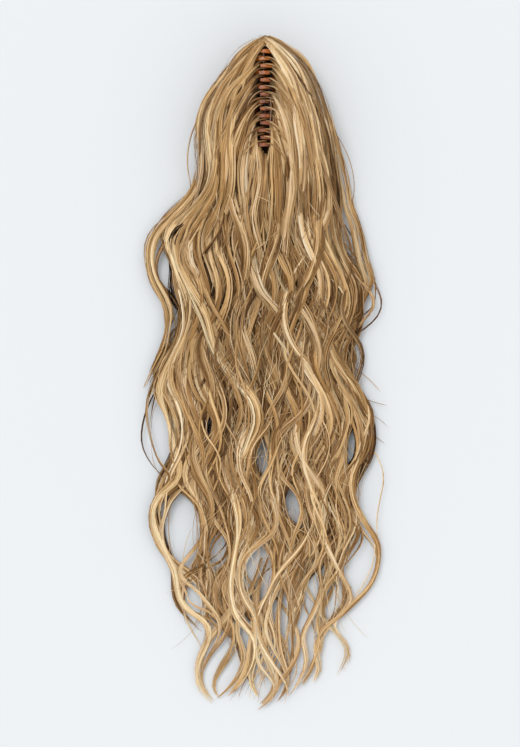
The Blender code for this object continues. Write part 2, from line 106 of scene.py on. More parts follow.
# Top of the hair at each row of the photograph, in millimetres above the table
ROOF = (
    (37, 38), (42, 49), (49, 55), (60, 56.4), (101, 56), (130, 55), (154, 52), (198, 43), (260, 34),
    (327, 28), (410, 22), (478, 17), (533, 13), (589, 9.5), (634, 8), (712, 6),
)

# Row of the photograph, and the column of the hair's left and right edges without their waves
EDGES = (
    (37, 262, 268), (44, 250, 282), (50, 241, 289), (60, 233, 299), (70, 227, 306), (90, 215, 317),
    (110, 204, 322), (140, 198, 331), (180, 199, 337), (200, 195, 341), (220, 181, 345),
    (250, 166, 351), (300, 168, 360), (350, 170, 358), (400, 161, 363), (450, 164, 367),
    (500, 164, 365), (550, 167, 362), (600, 181, 352), (650, 205, 334), (712, 215, 296),
)

# Places where the floor shows between locks: column, row, half width and half height in pixels
GAPS = (
    (163, 268, 6, 19), (350, 252, 3, 9), (369, 302, 5, 12), (171, 334, 3, 14), (209, 427, 3, 14),
    (160, 436, 8, 34), (263, 458, 6, 22), (352, 448, 4, 20), (371, 500, 7, 28), (292, 506, 7, 18),
    (182, 530, 12, 32), (161, 511, 3, 10), (217, 553, 7, 19), (258, 575, 9, 28), (361, 568, 10, 27),
    (331, 604, 6, 18), (193, 603, 6, 15), (280, 610, 5, 22), (314, 598, 5, 21), (222, 668, 10, 28),
    (305, 645, 6, 24), (333, 655, 8, 23), (246, 655, 4, 20), (268, 690, 3, 14),
)

# Rows where locks leave the claw on its left and on its right
ROOT_ROWS = ((57, 66, 78, 91, 104, 117, 130, 143), (55, 64, 75, 87, 99, 112, 126, 141))

# Locks that show on top: side of the claw, the piece that they belong to, width in pixels, depth, tone,
# strands, and the columns and rows that they pass
LOCKS = (
    (-1, "side", 13, 1.0, 0.7, 46, (266, 45, 260, 45, 251, 49, 240, 59, 228, 73, 217, 87, 207, 99, 201, 115,
     199, 136, 202, 158, 200, 180, 187, 199, 170, 216, 154, 232, 149, 250, 153, 271, 163, 296, 169, 316,
     168, 336, 159, 356, 150, 374, 143, 390)),
    (-1, "side", 15, 1.02, 0.68, 54, (260, 54, 248, 60, 235, 76, 222, 93, 213, 108, 208, 128, 212, 152, 214,
     172, 206, 194, 187, 210, 170, 226, 165, 240, 172, 262, 183, 285, 188, 306, 182, 334, 170, 359, 160,
     384, 154, 404, 156, 424, 166, 446, 177, 464, 178, 480, 163, 494, 153, 511, 155, 530, 166, 549, 173,
     568, 176, 584, 178, 598, 192, 613, 206, 627, 212, 645, 203, 664, 197, 682, 201, 698, 211, 709)),
    (-1, "side", 16, 1.05, 0.66, 60, (259, 68, 246, 80, 232, 97, 223, 118, 218, 142, 217, 168, 213, 190,
     196, 210, 177, 228, 173, 246, 180, 262, 193, 288, 206, 315, 211, 336, 220, 356, 236, 376, 252, 396,
     259, 419, 256, 436, 244, 460, 235, 478, 233, 494, 239, 514, 238, 541, 233, 568, 231, 596, 235, 618,
     246, 632, 254, 644, 253, 660, 243, 680, 226, 700)),
    (-1, "low", 12, 1.04, 0.58, 44, (259, 104, 247, 118, 238, 138, 232, 160, 231, 186, 235, 210, 243, 232,
     248, 255, 246, 277, 234, 301, 220, 317, 206, 333, 201, 348, 206, 364, 213, 380, 214, 398, 208, 416,
     196, 436, 193, 458, 200, 478, 209, 496, 211, 515, 202, 533, 187, 551, 177, 567, 181, 583, 198, 600,
     214, 614, 222, 630, 222, 648, 211, 667, 198, 686)),
    (-1, "side", 10, 0.99, 0.45, 34, (259, 80, 246, 94, 235, 112, 228, 136, 226, 164, 224, 196, 214, 224,
     204, 250, 203, 276, 212, 300, 226, 322, 234, 344, 232, 368, 219, 390, 206, 410, 201, 430, 207, 452,
     220, 474, 229, 496, 230, 520, 227, 545, 212, 562, 192, 574, 179, 586, 184, 606, 202, 618, 217, 628,
     222, 646)),
    (-1, "low", 11, 1.03, 0.66, 38, (260, 118, 251, 132, 246, 150, 243, 174, 244, 200, 248, 226, 250, 250,
     253, 272, 262, 292, 276, 308, 284, 324, 289, 344, 299, 360, 310, 374, 312, 392, 304, 410, 290, 424,
     276, 438, 267, 456, 264, 478, 272, 498, 279, 518, 272, 540, 254, 556, 246, 576, 248, 600, 256, 624,
     254, 650, 262, 676, 276, 692, 270, 706, 256, 714)),
    (1, "side", 14, 1.0, 0.6, 50, (268, 45, 275, 46, 286, 51, 297, 61, 308, 76, 316, 92, 322, 110, 329, 130,
     335, 150, 340, 170, 344, 190, 349, 209, 357, 227, 359, 246, 363, 262, 371, 284, 368, 300, 352, 313,
     333, 327, 323, 348, 321, 368, 326, 388, 322, 402, 306, 414, 284, 427, 273, 441, 266, 458, 258, 476,
     256, 496, 266, 514, 269, 528, 259, 544, 245, 561, 240, 584, 246, 606, 257, 624, 259, 645, 270, 664,
     285, 684, 289, 700)),
    (1, "side", 15, 1.03, 0.66, 54, (273, 56, 284, 64, 295, 79, 304, 98, 311, 120, 318, 144, 326, 168, 331,
     192, 330, 214, 320, 236, 303, 262, 291, 286, 285, 306, 287, 326, 296, 346, 310, 364, 320, 384, 322,
     404, 314, 426, 306, 448, 306, 470, 314, 490, 317, 510, 313, 530, 299, 553, 283, 570, 269, 584, 262,
     606, 257, 627, 260, 644, 271, 664, 284, 682, 290, 696, 284, 711)),
    (1, "side", 13, 1.0, 0.55, 46, (272, 70, 282, 82, 292, 100, 299, 122, 305, 148, 311, 172, 317, 198, 318,
     226, 317, 250, 308, 280, 300, 296, 306, 312, 317, 326, 327, 340, 336, 362, 352, 382, 363, 403, 369,
     421, 364, 444, 355, 466, 352, 486, 358, 504, 369, 526, 376, 546, 373, 570, 361, 596, 346, 614, 328,
     629, 320, 644, 317, 660, 307, 679, 295, 694)),
    (1, "low", 12, 1.02, 0.64, 40, (271, 96, 279, 110, 286, 130, 290, 154, 291, 180, 290, 206, 286, 230,
     283, 254, 286, 278, 296, 300, 309, 320, 318, 342, 319, 364, 311, 386, 300, 406, 294, 428, 297, 450,
     307, 470, 322, 490, 326, 512, 321, 532, 329, 553, 342, 570, 353, 588, 354, 602, 344, 614, 330, 628,
     337, 640, 347, 652, 348, 668, 341, 680)),
    (1, "low", 12, 1.01, 0.52, 40, (270, 124, 277, 138, 281, 158, 282, 184, 280, 212, 276, 238, 268, 262,
     262, 284, 264, 306, 274, 326, 284, 346, 288, 368, 282, 390, 270, 410, 262, 432, 266, 454, 278, 476,
     290, 496, 297, 518, 292, 542, 288, 564, 284, 586, 272, 608, 264, 628, 271, 650, 282, 668, 289, 684,
     286, 702)),
    (1, "side", 12, 0.98, 0.5, 40, (272, 84, 284, 98, 297, 118, 309, 142, 319, 168, 328, 194, 337, 220, 345,
     244, 347, 268, 340, 290, 337, 312, 347, 332, 360, 350, 356, 372, 349, 392, 357, 412, 367, 430, 366,
     450, 352, 470, 341, 490, 344, 510, 358, 524, 364, 540, 355, 558, 344, 576, 331, 594, 324, 610, 330,
     624, 322, 640, 309, 656)),
)

# Curls that end the tail: width in pixels, depth, tone, strands, and the columns and rows that they pass
TIPS = (
    (6.0, 0.95, 0.62, 22, (231, 560, 238, 590, 232, 612, 218, 630, 204, 650, 196, 672, 199, 690, 213, 708)),
    (5.0, 0.85, 0.5, 18, (214, 580, 226, 605, 230, 625, 222, 642, 208, 662, 200, 680, 204, 694)),
    (5.5, 0.95, 0.66, 20, (262, 560, 252, 590, 240, 615, 238, 638, 245, 660, 240, 678, 229, 692, 215, 705)),
    (5.5, 0.85, 0.56, 20, (244, 575, 256, 600, 257, 622, 250, 645, 247, 668, 237, 690, 226, 700)),
    (8.5, 1.0, 0.66, 34, (268, 560, 258, 590, 256, 620, 262, 648, 272, 670, 278, 688, 269, 704, 256, 714)),
    (6.5, 0.9, 0.56, 24, (290, 570, 281, 600, 278, 630, 280, 655, 287, 678, 286, 694, 277, 708)),
    (5.5, 0.95, 0.64, 20, (318, 560, 322, 590, 314, 615, 303, 640, 307, 664, 300, 684, 290, 700)),
    (6.0, 0.9, 0.58, 22, (340, 575, 330, 600, 318, 622, 322, 645, 314, 670, 303, 690)),
    (5.5, 0.8, 0.48, 20, (205, 590, 222, 612, 233, 632, 232, 652, 220, 672, 212, 690, 218, 702)),
    (6.0, 0.85, 0.6, 22, (252, 600, 262, 622, 262, 645, 252, 668, 250, 686, 258, 702)),
    (6.0, 0.8, 0.52, 22, (275, 600, 290, 622, 298, 645, 292, 668, 280, 686, 276, 700)),
    (5.5, 0.85, 0.62, 20, (352, 590, 342, 612, 326, 632, 316, 652, 320, 672, 314, 688)),
    (4.0, 0.95, 0.7, 12, (300, 575, 312, 600, 326, 625, 340, 641, 348, 655, 343, 670, 337, 682)),
)

# Thin locks and single hairs: width in pixels, depth, tone, strands, and the columns and rows that they pass
WISPS = (
    (3.0, 1.02, 0.22, 9, (346, 222, 356, 240, 365, 258, 373, 276, 380, 291, 383, 303, 379, 315, 368, 326,
     354, 337, 342, 352)),
    (1.5, 0.9, 0.4, 3, (212, 98, 202, 110, 192, 130, 187, 150, 187, 168, 190, 186, 184, 204)),
    (1.5, 0.9, 0.35, 3, (324, 112, 336, 132, 346, 150, 353, 170, 355, 190, 351, 208, 350, 226)),
    (5.0, 1.0, 0.42, 18, (262, 151, 260, 166, 257, 186, 254, 210, 255, 236, 261, 262, 266, 290)),
    (5.0, 1.0, 0.46, 18, (269, 152, 271, 167, 274, 188, 274, 212, 270, 238, 264, 262, 262, 286)),
    (6.0, 0.97, 0.44, 20, (265, 155, 264, 176, 266, 200, 269, 226, 268, 252, 262, 280, 256, 306)),
    (6.0, 0.96, 0.5, 20, (267, 157, 267, 180, 263, 206, 261, 230, 265, 256, 273, 282, 280, 306)),
    (3.0, 1.06, 0.76, 8, (163, 366, 162, 382, 168, 396, 179, 405, 191, 407, 202, 403)),
    (2.0, 0.9, 0.16, 5, (165, 375, 152, 395, 143, 418, 140, 440, 145, 457, 157, 473, 174, 488, 190, 500)),
    (2.0, 0.9, 0.62, 6, (352, 428, 368, 444, 380, 460, 385, 480, 381, 502, 378, 524, 380, 548)),
    (4.0, 1.02, 0.72, 12, (346, 480, 354, 497, 363, 512, 371, 528, 377, 547, 374, 570, 361, 594, 346, 612)),
    (4.0, 1.05, 0.2, 12, (233, 505, 229, 526, 225, 546, 210, 561, 190, 573, 176, 584, 174, 596, 184, 608,
     200, 618, 216, 623)),
    (3.0, 1.04, 0.18, 9, (296, 548, 279, 563, 263, 576, 254, 586, 252, 598, 256, 613, 258, 630)),
    (4.5, 1.05, 0.74, 14, (233, 420, 240, 440, 238, 462, 234, 482, 236, 505, 240, 530, 236, 556, 231, 584,
     232, 608)),
    (5.0, 1.05, 0.64, 16, (258, 250, 252, 272, 240, 296, 231, 316, 230, 338, 238, 360, 250, 384, 259, 408)),
    (5.0, 1.06, 0.66, 16, (318, 228, 319, 250, 310, 276, 297, 296, 291, 316, 292, 336)),
    (4.0, 1.05, 0.72, 12, (248, 292, 258, 312, 272, 332, 284, 348, 293, 362, 305, 378, 309, 398, 300, 418)),
    (4.0, 1.06, 0.72, 12, (324, 392, 318, 406, 303, 417, 284, 428, 273, 441, 266, 458, 262, 474)),
    (4.0, 1.02, 0.3, 12, (352, 420, 362, 436, 360, 456, 352, 472, 345, 490, 350, 508, 360, 524, 364, 542,
     354, 558, 340, 574)),
    (4.0, 1.04, 0.7, 12, (214, 88, 208, 104, 206, 124, 208, 146, 213, 170, 216, 196, 217, 218)),
    (1.0, 0.9, 0.4, 2, (346, 362, 360, 371, 372, 381, 383, 393)),
    (1.0, 0.9, 0.35, 2, (350, 392, 366, 399, 380, 404, 390, 406)),
    (1.0, 0.9, 0.4, 2, (352, 408, 372, 415, 384, 422, 391, 430)),
    (1.0, 0.9, 0.35, 2, (360, 430, 376, 437, 388, 446)),
    (1.0, 0.9, 0.35, 2, (196, 300, 176, 330, 158, 352, 146, 376)),
)


def table_value(table, at, column=1):
    """Reads a table by straight lines between its rows."""
    rows = np.array([row[0] for row in table], float)
    values = np.array([row[column] for row in table], float)
    return np.interp(at, rows, values)


def smooth(share):
    """Eases from 0 to 1."""
    share = np.clip(share, 0, 1)
    return share * share * (3 - 2 * share)


def row_of(y):
    """The photograph's row at a place along the part."""
    return APEX_ROW + (APEX_Y - y) / PIXEL


def x_of(column):
    return (np.asarray(column, float) - MIDDLE_COLUMN) * PIXEL


def y_of(row):
    return APEX_Y - (np.asarray(row, float) - APEX_ROW) * PIXEL


def edge_x(y, side):
    """The hair's edge on one side, without its waves."""
    return x_of(table_value(EDGES, row_of(y), 1 if side < 0 else 2))


def roof_z(x, y):
    """The top of the hair at each place."""
    half = np.where(x < 0, -edge_x(y, -1), edge_x(y, 1))
    top = table_value(ROOF, row_of(y)) / 1000
    lying = np.minimum(0.008 + 0.016 * smooth((y - 0.14) / 0.08), 0.6 * top)
    share = np.clip(np.abs(x) / np.maximum(half, 0.004), 0, 1)
    fullness = 2.2 + 0.8 * smooth((y - 0.22) / 0.04)
    return lying + (top - lying) * (1 - share ** fullness) ** 0.8


def bed_z(x, y):
    """The lowest that the hair goes: over the claw at the top, and down to the table below it."""
    top = roof_z(x, y)
    over_claw = top - 0.0042 - 0.014 * smooth((np.abs(x) - 0.018) / 0.022)
    on_table = np.full_like(top, 0.0026)
    share = smooth((y - 0.160) / 0.028)
    return np.maximum(on_table + (over_claw - on_table) * share, 0.0026)


def roof_normal(x, y):
    """Which way the top of the hair faces at each place, across the part."""
    step = 0.001
    slope = (roof_z(x + step, y) - roof_z(x - step, y)) / (2 * step)
    slope = np.clip(slope, -1.6, 1.6)
    return normalised(np.stack((-slope, np.zeros_like(slope), np.ones_like(slope)), -1))


def curve_through(points, count=12):
    """A smooth line through points, with count steps between each two."""
    points = np.asarray(points, float)
    padded = np.vstack((2 * points[0] - points[1], points, 2 * points[-1] - points[-2]))
    t = np.linspace(0, 1, count, endpoint=False)[:, None]
    pieces = []
    for i in range(len(points) - 1):
        a, b, c, d = padded[i:i + 4]
        line = 2 * b + (c - a) * t + (2 * a - 5 * b + 4 * c - d) * t ** 2 + (3 * b - a - 3 * c + d) * t ** 3
        pieces.append(0.5 * line)
    pieces.append(points[-1:])
    return np.vstack(pieces)


def distances(line):
    """How far along a line each of its points is."""
    return np.concatenate(([0], np.cumsum(np.linalg.norm(np.diff(line, axis=0), axis=1))))


def places_at(line, at):
    """The places at some distances along a line."""
    along = distances(line)
    return np.stack([np.interp(at, along, line[:, i]) for i in range(line.shape[1])], 1)


def even_steps(line, step):
    """The same line in steps of equal length."""
    length = distances(line)[-1]
    return places_at(line, np.linspace(0, length, max(int(round(length / step)) + 1, 4)))


def lock_steps(line):
    """Steps along a lock, shorter at its root, where it bends most."""
    length = distances(line)[-1]
    at = [0.0]
    while at[-1] < length - 0.4 * STEP:
        at.append(at[-1] + STEP * (0.35 + 0.65 * min(at[-1] / 0.05, 1)))
    at[-1] = length
    return places_at(line, at)


def raised(flat, depth, root_dip, start_dip):
    """Gives a line on the table its height in the hair. depth is 0 at the bottom and 1 on top."""
    x = flat[:, 0]
    y = flat[:, 1]
    gone = distances(flat)
    phase = rng.uniform(0, TURN)
    ripple = 0.14 * np.sin(TURN * gone / 0.115 + phase)
    share = np.clip(depth + ripple * smooth(gone / 0.08), 0, 1.12)
    low = bed_z(x, y)
    z = low + (roof_z(x, y) - low) * share
    z = z - root_dip * (1 - smooth(gone / 0.009))
    z = z - start_dip * (1 - smooth(gone / 0.045))
    return np.column_stack((x, y, np.maximum(z, LOCK_FLOOR)))


def normalised(vectors):
    return vectors / np.maximum(np.linalg.norm(vectors, axis=-1, keepdims=True), 1e-9)


def lock_frame(line):
    """The direction, side and upper side of a line at each of its points."""
    along = normalised(np.gradient(line, axis=0))
    up = np.zeros_like(along)
    up[:, 2] = 1
    across = normalised(np.cross(along, up))
    return along, across, np.cross(across, along)


class Strands:
    """Collects the strands of one piece, each a narrow ribbon."""

    def __init__(self):
        self.vertices = []
        self.faces = []
        self.values = {"tone": [], "warm": [], "shade": []}
        self.places = []
        self.count = 0
        self.strands = 0

    def add(self, middles, sides, widths, tone, warm, shade):
        """middles and sides are (strands, points, 3), and the other values (strands, points)."""
        many, points = middles.shape[:2]
        half = sides * (widths[..., None] / 2)
        corners = np.stack((middles - half, middles + half), 2)
        corners[..., 2] = np.maximum(corners[..., 2], RIBBON_FLOOR)
        self.vertices.append(corners.reshape(-1, 3))
        start = self.count + np.arange(many)[:, None] * points * 2 + np.arange(points - 1)[None, :] * 2
        quads = np.stack((start, start + 1, start + 3, start + 2), -1).reshape(-1, 4)
        self.faces.append(quads)
        for key, value in (("tone", tone), ("warm", warm), ("shade", shade)):
            self.values[key].append(np.repeat(value.reshape(-1), 2))
        strand = self.strands + np.arange(many)
        along = np.linspace(0, 1, points)
        place = np.zeros((many, points, 2, 3))
        place[..., 0] = strand[:, None, None]
        place[..., 1] = (0, 1)
        place[..., 2] = along[None, :, None]
        self.places.append(place.reshape(-1, 3))
        self.count += many * points * 2
        self.strands += many

    def build(self, name, look):
        """Makes the piece, with a map for its looks and one for baking, where each strand has its cell."""
        vertices = np.vstack(self.vertices).astype(np.float32)
        faces = np.vstack(self.faces).astype(np.int32)
        places = np.vstack(self.places)
        mesh = bpy.data.meshes.new(name)
        mesh.vertices.add(len(vertices))
        mesh.vertices.foreach_set("co", vertices.ravel())
        mesh.loops.add(faces.size)
        mesh.loops.foreach_set("vertex_index", faces.ravel())
        mesh.polygons.add(len(faces))
        mesh.polygons.foreach_set("loop_start", np.arange(0, faces.size, 4, dtype=np.int32))
        mesh.polygons.foreach_set("use_smooth", np.ones(len(faces), bool))
        mesh.update(calc_edges=True)
        for key, values in self.values.items():
            attribute = mesh.attributes.new(key, "FLOAT", "POINT")
            attribute.data.foreach_set("value", np.concatenate(values).astype(np.float32))
        corner = places[faces.ravel()]
        rows = max(int(math.sqrt(self.strands / 22)), 1)
        columns = math.ceil(self.strands / rows)
        strand_map = mesh.uv_layers.new(name="strand")
        strand_map.data.foreach_set("uv", corner[:, 1:].astype(np.float32).ravel())
        bake_map = mesh.uv_layers.new(name="OFBake")
        column = corner[:, 0] % columns
        row = corner[:, 0] // columns
        u = (column + 0.06 + 0.88 * corner[:, 1]) / columns
        v = (row + 0.01 + 0.98 * corner[:, 2]) / rows
        bake_map.data.foreach_set("uv", np.column_stack((u, v)).astype(np.float32).ravel())
        mesh.uv_layers.active = strand_map
        strand_map.active_render = True
        return put_in_scene(name, mesh, look)


def fill_lock(strands, line, width, thickness, tone, count, ribbon=0.0011, shade=1.0, tip=0.30, warm=0.5,
              root=0.30, ends=(0.90, 0.94), rooted=0.58, parted=True, outward=None):
    """One lock: bunches of strands that wander round its middle line and come together at the tip."""
    points = len(line)
    share = np.linspace(0, 1, points)
    gone = distances(line)
    heading, across, up = lock_frame(line)
    rows = row_of(line[:, 1])
    top = roof_z(line[:, 0], line[:, 1])
    narrow = root + (1 - root) * smooth(gone / 0.045)
    narrow = narrow * (tip + (1 - tip) * smooth((1 - share) / 0.26))
    narrow = narrow * (1 - 0.40 * smooth((rows - 430) / 110))
    half = width / 2 * narrow
    deep = thickness / 2 * narrow
    bunches = max(int(round(count / 7)), 2)
    angle = rng.uniform(0, TURN, bunches)
    reach = np.sqrt(rng.uniform(0.05, 1.0, bunches)) * 0.80
    bunch_tone = rng.normal(0, 0.12, bunches)
    bunch_warm = rng.normal(0, 0.16, bunches)
    bunch_swing = rng.uniform(0.05, 0.30, bunches)
    bunch_wave = rng.uniform(0.05, 0.11, bunches)
    bunch_phase = rng.uniform(0, TURN, bunches)
    bunch_size = rng.uniform(0.20, 0.42, bunches)
    bunch_end = rng.uniform(ends[0], 1.0, bunches)
    bunch_end[0] = 1.0
    owner = rng.integers(0, bunches, count)
    turn = rng.uniform(-2.6, 2.6)
    twist = turn * share[None, :]
    own_angle = rng.uniform(0, TURN, count)
    own_reach = np.sqrt(rng.uniform(0, 1, count)) * bunch_size[owner]
    closing = 1 - 0.65 * smooth((share[None, :] - 0.7) / 0.3)
    u = reach[owner, None] * np.cos(angle[owner, None] + twist)
    v = reach[owner, None] * np.sin(angle[owner, None] + twist)
    u = u + own_reach[:, None] * np.cos(own_angle[:, None] + 1.6 * twist) * closing
    v = v + own_reach[:, None] * np.sin(own_angle[:, None] + 1.6 * twist) * closing
    wander = TURN * gone[None, :] / bunch_wave[owner, None] + bunch_phase[owner, None]
    own_wander = TURN * gone[None, :] / rng.uniform(0.03, 0.09, count)[:, None] + own_angle[:, None]
    grown = smooth(gone / 0.06)[None, :]
    u = u + (bunch_swing[owner, None] * np.sin(wander) + 0.07 * np.sin(own_wander)) * grown
    v = v + 0.5 * bunch_swing[owner, None] * np.cos(wander) * grown
    end = np.clip(bunch_end[owner] * rng.uniform(ends[1], 1.0, count), 0, 1)
    middles = np.empty((count, points, 3))
    for i in range(3):
        aside = half * u * across[:, i] + deep * v * up[:, i]
        for k in range(count):
            middles[k, :, i] = np.interp(share * end[k], share, line[:, i] + aside[k])
    if parted:
        part_strands(middles)
    along = normalised(np.gradient(middles, axis=1))
    if outward is None:
        outward = roof_normal(line[:, 0], line[:, 1])
    facing = outward[None] * 0.85 + across[None] * (0.50 * u)[..., None] + up[None] * (0.30 * v)[..., None]
    facing = facing + rng.normal(0, 0.22, (count, 1, 3))
    sides = normalised(np.cross(along, facing))
    begin = 0.15 if root < 0.15 else 0.55
    taper = np.clip(smooth((1 - share) / 0.07), 0.20, 1) * (begin + (1 - begin) * smooth(share / 0.06))
    widths = ribbon * rng.uniform(0.65, 1.30, count)[:, None] * taper[None, :]
    crown = smooth((line[:, 1] - 0.08) / 0.08)[None, :]
    own_tone = (bunch_tone[owner] + rng.normal(0, 0.09, count))[:, None] * (1 - 0.20 * crown)
    # Painted highlight: strands that run to the right are painted lighter
    own_tone = own_tone + SHINE * heading[None, :, 0]
    # Painted light: the crown is painted lighter; strands also grow lighter towards the tips
    lift = 0.05 * crown + 0.16 * smooth((rows - 490) / 180)[None, :]
    tones = np.clip(tone + own_tone + lift + 0.05 * np.sin(own_wander), 0, 1)
    own_warm = warm + bunch_warm[owner] + rng.normal(0, 0.10, count)
    warms = np.clip(np.repeat(own_warm[:, None], points, 1), 0, 1)
    # Painted shade: strands deeper in the lock and at its edges are darker
    level = np.clip(0.62 + 0.5 * v - 0.34 * u ** 2, 0, 1)
    # Painted shade near the root, where the lock leaves the claw
    rooted = rooted + (1 - rooted) * smooth(gone / 0.024)
    # Painted light: painted shade fades towards the tips, where the hair lies open
    open_air = 0.42 * smooth((rows - 480) / 130)
    # Painted shade: a darker band across the middle of the tail
    hollow_shade = 1 - 0.16 * np.exp(-((rows - 364) / 42) ** 2)
    floor_shade = 0.20 + 0.24 * crown
    room = np.maximum(top - bed_z(line[:, 0], line[:, 1]), 0.001)
    # Painted shade where the lock dives below the top of the hair
    sunk = np.clip((top - line[:, 2]) / room, 0, 1)
    shades = shade * rooted[None, :] * (floor_shade + (1 - floor_shade) * level)
    shades = shades * (hollow_shade * (1.08 - 0.50 * sunk))[None, :]
    shades = shades + (1 - shades) * open_air[None, :]
    strands.add(middles, sides, widths, tones, warms, np.clip(shades, 0.16, 1))


def traced_line(points, depth, rooted=True):
    """The middle line of a lock through columns and rows of the photograph."""
    places = np.reshape(points, (-1, 2))
    flat = lock_steps(curve_through(np.column_stack((x_of(places[:, 0]), y_of(places[:, 1])))))
    return raised(flat, depth, 0.0040 if rooted else 0.0, 0.0 if rooted else 0.006)


def round_gaps(flat):
    """Moves a line aside where it would cross a gap, so that locks part and meet again round it."""
    x = flat[:, 0].copy()
    y = flat[:, 1]
    for column, row, wide, tall in GAPS:
        middle_x = x_of(column)
        height = (y - y_of(row)) / (tall * PIXEL * 1.35)
        near = np.abs(height) < 1
        if not near.any():
            continue
        side = 1 if np.mean(x[near]) > middle_x else -1
        room = (wide + 3) * PIXEL * np.sqrt(np.clip(1 - height ** 2, 0, 1))
        short = room - side * (x - middle_x)
        x = x + side * np.where(near, np.clip(short, 0, None), 0)
    kernel = np.array((1, 2, 3, 2, 1)) / 9
    soft = np.convolve(np.pad(x, 2, mode="edge"), kernel, mode="valid")
    x = x + (soft - x) * smooth((y[0] - y) / 0.06)
    return np.column_stack((x, y))


def part_strands(middles):
    """Draws strands away from the middle of each gap: they gather beside it and meet at its ends."""
    y = middles[..., 1]
    for column, row, wide, tall in GAPS:
        height = np.clip((y - y_of(row)) / (tall * PIXEL * 1.3), -1, 1)
        room = wide * PIXEL
        reach = 3.0 * room
        away = middles[..., 0] - x_of(column)
        near = (np.abs(height) < 1) & (np.abs(away) < reach)
        side = np.where((away * near).sum(1) > 0, 1, -1)[:, None]
        out = side * away
        push = np.where(out < 0, (room - out) * smooth((reach + out) / room), room * (1 - out / reach))
        middles[..., 0] += side * np.clip(push, 0, None) * (1 - height ** 2) * near
    moved = 0.25 * middles[:, :-2, 0] + 0.5 * middles[:, 1:-1, 0] + 0.25 * middles[:, 2:, 0]
    middles[:, 4:-1, 0] = moved[:, 3:]


def wave_turns(share):
    """How many waves lie above a share of the tail's length: they shorten towards the tips."""
    change = LAST_WAVE / FIRST_WAVE - 1
    return TAIL_LENGTH / (FIRST_WAVE * change) * np.log(1 + change * np.clip(share, 0, 1))


def base_phase(side, aim):
    """Where in its wave a lock is: locks that lie side by side wave together."""
    return 0.10 + 0.42 * (1 - aim) if side < 0 else 0.21 + 0.27 * (1 - aim)


def waving_line(side, root_y, aim, phase, swing, tip, depth, start_x=0.0064, turning=0.105,
                root_dip=0.0042):
    """The middle line of a lock that leaves the claw at root_y and waves. aim is its share of the width."""
    bottom = APEX_Y - tip * HAIR_LENGTH
    y = np.linspace(root_y, bottom, 260)
    tail_share = (CLAW_END_Y - y) / TAIL_LENGTH
    sweep = np.clip((root_y - y) / turning, 0, 1)
    arch = (1 - (1 - sweep) ** 2) ** 0.62
    reach = np.abs(edge_x(y, side)) * aim
    start = side * start_x
    x = start + (side * reach - start) * arch
    size = swing * smooth(tail_share / 0.22)
    drift = rng.uniform(-0.004, 0.004) * np.sin(TURN * tail_share * rng.uniform(0.8, 1.6))
    own_phase = rng.uniform(-0.26, 0.26) * smooth((tail_share - 0.30) / 0.35)
    x = x + size * np.sin(TURN * (wave_turns(tail_share) + phase + own_phase)) + drift
    flat = lock_steps(np.column_stack((x, y)))
    return raised(round_gaps(flat), depth, root_dip, 0.0)


def set_inputs(made, inputs):
    for key, value in inputs.items():
        made.inputs[key].default_value = value


def node(tree, kind, inputs=None, **settings):
    """A new shader node with its settings and the values of its inputs."""
    made = tree.nodes.new("ShaderNode" + kind)
    for key, value in settings.items():
        setattr(made, key, value)
    set_inputs(made, inputs or {})
    return made


def wire(tree, *joins):
    """Joins nodes. Each join is a node, its output, the next node and its input."""
    for source, output, target, entry in joins:
        tree.links.new(source.outputs[output], target.inputs[entry])


def new_look(name, inputs):
    """A material, its node tree and its shader, with the values of the shader's inputs."""
    look = bpy.data.materials.new(name)
    look.use_nodes = True
    shader = look.node_tree.nodes["Principled BSDF"]
    set_inputs(shader, inputs)
    return look, look.node_tree, shader


def colour_ramp(tree, *stops):
    """A colour ramp with a colour at each place."""
    made = node(tree, "ValToRGB")
    for i, (place, colour) in enumerate(stops):
        stop = made.color_ramp.elements[i] if i < 2 else made.color_ramp.elements.new(place)
        stop.position = place
        stop.color = (*colour, 1)
    return made


def span(tree, start, end, low=0.0, high=1.0, **settings):
    """Maps the values from start to end to those from low to high."""
    inputs = {"From Min": start, "From Max": end, "To Min": low, "To Max": high}
    return node(tree, "MapRange", inputs, **settings)


